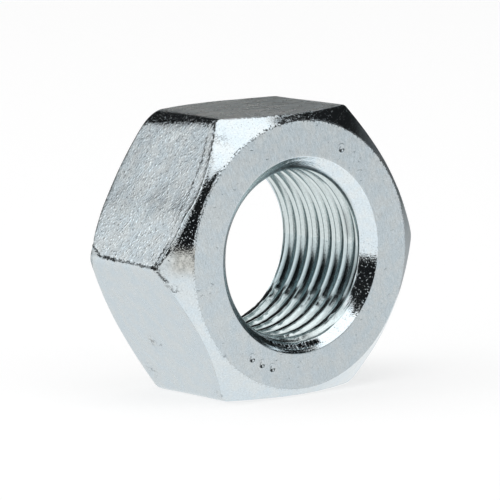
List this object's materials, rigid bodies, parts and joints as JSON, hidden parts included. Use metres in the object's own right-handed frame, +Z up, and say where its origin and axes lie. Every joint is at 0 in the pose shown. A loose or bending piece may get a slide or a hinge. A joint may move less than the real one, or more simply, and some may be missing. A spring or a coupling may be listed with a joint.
{
  "type": "threaded hexagon nut",
  "caption": "Zinc-plated hexagon nut with a fine right-hand thread, countersunk mouths and chamfered rims, standing on one flat.",
  "frame": {"origin": "middle of the bottom flat, on the surface that the nut stands on, halfway between its end faces", "axes": "+Z up through the top flat, -Y out of the front face along the bore, +X to the right seen from the front"},
  "size_m": [0.0344, 0.016, 0.03],
  "materials": {
    "zinc_plate": "bright zinc plating over forged steel, satin on the faces"
  },
  "bodies": {
    "root": {"hex_nut": "zinc_plate"}
  },
  "joints": []
}
